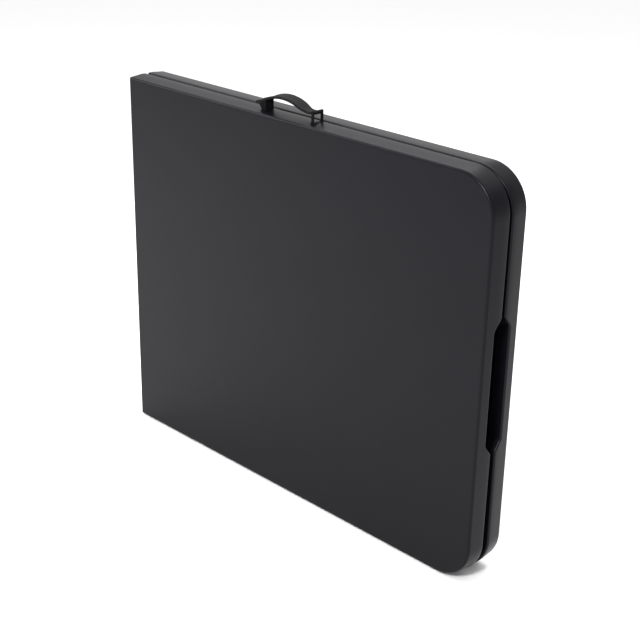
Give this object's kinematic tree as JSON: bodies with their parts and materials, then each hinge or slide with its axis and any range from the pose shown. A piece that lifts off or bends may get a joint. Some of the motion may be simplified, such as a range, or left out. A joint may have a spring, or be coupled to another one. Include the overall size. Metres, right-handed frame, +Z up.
{
  "type": "folding table",
  "caption": "Black blow-moulded fold-in-half table, folded shut like a suitcase, with a strap handle, finger notch and height-adjustable folding legs stowed inside.",
  "frame": {"origin": "on the floor, under the middle of the folded table standing on its long edge", "axes": "+X from the centre hinge to the table's outer end, +Y through the folded thickness from the front leaf to the back leaf, +Z up"},
  "size_m": [0.915, 0.088, 0.779],
  "materials": {
    "moulded_panel": "fine-textured blow-moulded black polyethylene",
    "handle_strap": "soft moulded black strap",
    "handle_fittings": "satin moulded black nylon",
    "rubber": "matt black rubber",
    "black_nylon": "satin black nylon",
    "stud_nylon": "natural white nylon",
    "zinc_steel": "bright zinc plate",
    "stay_steel": "satin black powder coat",
    "coated_steel": "grey textured powder coat"
  },
  "bodies": {
    "front_leaf": {"front_panel": "moulded_panel", "front_hinge_plates": "stay_steel", "front_hinge_screws": "zinc_steel", "front_rails": "coated_steel", "front_rail_screws": "zinc_steel", "front_pivot_blocks": "black_nylon", "front_stay_brackets": "stay_steel", "front_stay_bracket_screws": "zinc_steel", "hinge_pins": "zinc_steel", "rim_pads": "rubber", "handle_strap": "handle_strap", "handle_wedge": "handle_fittings", "handle_staple": "handle_fittings", "handle_screw": "stay_steel"},
    "back_leaf": {"back_panel": "moulded_panel", "back_hinge_plates": "stay_steel", "back_hinge_screws": "zinc_steel", "back_rails": "coated_steel", "back_rail_screws": "zinc_steel", "back_pivot_blocks": "black_nylon", "back_stay_brackets": "stay_steel", "back_stay_bracket_screws": "zinc_steel", "locating_studs": "stud_nylon"},
    "front_leg": {"front_leg_frame": "coated_steel", "front_stay_studs": "zinc_steel"},
    "front_foot": {"front_foot_frame": "coated_steel", "front_foot_caps": "rubber"},
    "front_stay_upper": {"front_stay_upper": "stay_steel", "front_knee_rivets": "zinc_steel"},
    "front_stay_lower": {"front_stay_lower": "stay_steel"},
    "front_lock_low": {"front_lock_sleeve_low": "black_nylon"},
    "front_lock_high": {"front_lock_sleeve_high": "black_nylon"},
    "back_leg": {"back_leg_frame": "coated_steel", "back_stay_studs": "zinc_steel"},
    "back_foot": {"back_foot_frame": "coated_steel", "back_foot_caps": "rubber"},
    "back_stay_upper": {"back_stay_upper": "stay_steel", "back_knee_rivets": "zinc_steel"},
    "back_stay_lower": {"back_stay_lower": "stay_steel"},
    "back_lock_low": {"back_lock_sleeve_low": "black_nylon"},
    "back_lock_high": {"back_lock_sleeve_high": "black_nylon"}
  },
  "joints": [
    {"name": "fold", "type": "hinge", "parent": "front_leaf", "child": "back_leaf", "pos_m": [-0.453, 0, 0.3725], "axis": [0, 0, 1], "range_deg": [0, 180]},
    {"name": "front_leg", "type": "hinge", "parent": "front_leaf", "child": "front_leg", "pos_m": [0.3825, -0.014, 0.3725], "axis": [0, 0, -1], "range_deg": [0, 90]},
    {"name": "front_foot_slide", "type": "slide", "parent": "front_leg", "child": "front_foot", "axis": [-1, 0, 0], "range_m": [0, 0.285]},
    {"name": "front_stay_upper", "type": "hinge", "parent": "front_leaf", "child": "front_stay_upper", "pos_m": [0.0325, -0.014, 0.3725], "axis": [0, 0, 1], "range_deg": [0, 29.75]},
    {"name": "front_stay_lower", "type": "hinge", "parent": "front_leg", "child": "front_stay_lower", "pos_m": [0.1825, -0.014, 0.3725], "axis": [0, 0, -1], "range_deg": [0, 60.26]},
    {"name": "front_lock_low", "type": "hinge", "parent": "front_leg", "child": "front_lock_low", "pos_m": [0.0335, -0.014, 0.0875], "axis": [-1, 0, 0], "range_deg": [0, 90]},
    {"name": "front_lock_high", "type": "hinge", "parent": "front_leg", "child": "front_lock_high", "pos_m": [0.0335, -0.014, 0.6575], "axis": [-1, 0, 0], "range_deg": [0, 90]},
    {"name": "back_leg", "type": "hinge", "parent": "back_leaf", "child": "back_leg", "pos_m": [0.3825, 0.014, 0.3725], "axis": [0, 0, 1], "range_deg": [0, 90]},
    {"name": "back_foot_slide", "type": "slide", "parent": "back_leg", "child": "back_foot", "axis": [-1, 0, 0], "range_m": [0, 0.285]},
    {"name": "back_stay_upper", "type": "hinge", "parent": "back_leaf", "child": "back_stay_upper", "pos_m": [0.0325, 0.014, 0.3725], "axis": [0, 0, -1], "range_deg": [0, 29.75]},
    {"name": "back_stay_lower", "type": "hinge", "parent": "back_leg", "child": "back_stay_lower", "pos_m": [0.1825, 0.014, 0.3725], "axis": [0, 0, 1], "range_deg": [0, 60.26]},
    {"name": "back_lock_low", "type": "hinge", "parent": "back_leg", "child": "back_lock_low", "pos_m": [0.0335, 0.014, 0.0875], "axis": [-1, 0, 0], "range_deg": [0, 90]},
    {"name": "back_lock_high", "type": "hinge", "parent": "back_leg", "child": "back_lock_high", "pos_m": [0.0335, 0.014, 0.6575], "axis": [-1, 0, 0], "range_deg": [0, 90]}
  ],
  "couplings": [
    {"joint": "front_leg", "follows": "fold", "ratio": 0.5},
    {"joint": "front_stay_upper", "follows": "fold", "ratio": 0.16525},
    {"joint": "front_stay_lower", "follows": "fold", "ratio": 0.33475},
    {"joint": "back_leg", "follows": "fold", "ratio": 0.5},
    {"joint": "back_stay_upper", "follows": "fold", "ratio": 0.16525},
    {"joint": "back_stay_lower", "follows": "fold", "ratio": 0.33475}
  ]
}
